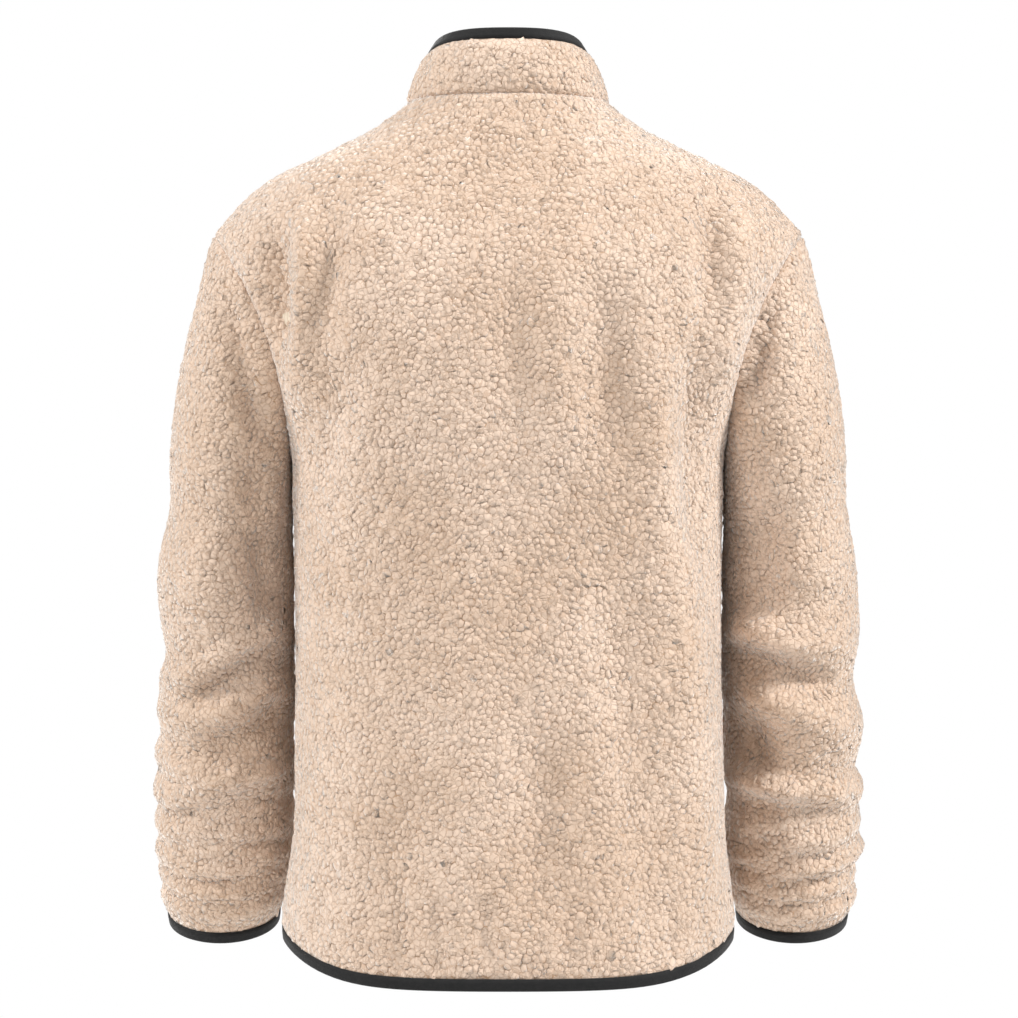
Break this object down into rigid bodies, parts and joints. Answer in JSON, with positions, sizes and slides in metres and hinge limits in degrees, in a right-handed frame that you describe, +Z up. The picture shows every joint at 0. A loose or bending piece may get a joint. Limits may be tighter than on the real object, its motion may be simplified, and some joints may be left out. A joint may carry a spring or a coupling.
{
  "type": "sherpa jacket",
  "caption": "Zip-front pile fleece jacket with a stand collar, set-in sleeves and bound edges, filled out and hollow as if worn.",
  "frame": {"origin": "Middle of the neck opening, level with the collar seam at the centre back, where the wearer holds the jacket.", "axes": "+Z up to the collar, +Y towards the back, -Y the zip side, +X towards the wearer's left sleeve."},
  "size_m": [0.5967, 0.2841, 0.7649],
  "materials": {
    "sherpa_fleece": "deep curly pile, matt",
    "black_binding": "smooth stretch binding",
    "zip_tape": "woven tape",
    "zip_metal": "black enamel"
  },
  "bodies": {
    "jacket": {"back_panel": "sherpa_fleece", "front_left": "sherpa_fleece", "front_right": "sherpa_fleece", "sleeve_left": "sherpa_fleece", "sleeve_right": "sherpa_fleece", "collar": "sherpa_fleece", "hem_binding": "black_binding", "cuff_binding_left": "black_binding", "cuff_binding_right": "black_binding", "collar_binding": "black_binding", "zip_tape_left": "zip_tape", "zip_tape_right": "zip_tape", "zip_box": "zip_metal", "zip_slider": "zip_metal"},
    "pull": {"zip_pull": "zip_metal"}
  },
  "joints": [
    {"name": "pull_swing", "type": "hinge", "parent": "jacket", "child": "pull", "pos_m": [0, -0.0818, -0.00991], "axis": [-1, 0, 0], "range_deg": [0, 170]}
  ]
}
